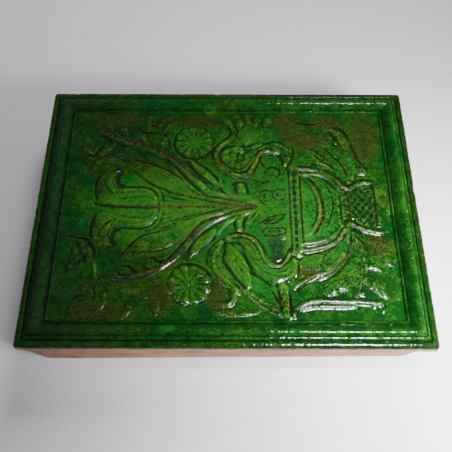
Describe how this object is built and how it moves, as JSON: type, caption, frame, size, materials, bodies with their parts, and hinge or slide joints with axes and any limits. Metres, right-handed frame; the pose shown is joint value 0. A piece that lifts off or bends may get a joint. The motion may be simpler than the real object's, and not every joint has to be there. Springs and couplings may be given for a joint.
{
  "type": "moulded stove tile",
  "caption": "Rectangular green-glazed earthenware stove tile with a moulded frame, a relief of a vase of flowers and a hollow collar behind.",
  "frame": {"origin": "centre of the footprint at the rim of the collar, the plane the tile lies on", "axes": "+X along the long side towards the foot of the vase, +Y across towards the far long side in the picture, +Z out of the glazed face"},
  "size_m": [0.3, 0.23, 0.046],
  "materials": {
    "green_glaze": "glossy copper-green lead glaze on the face, bare terracotta on the collar"
  },
  "bodies": {
    "root": {"stove_tile": "green_glaze"}
  },
  "joints": []
}
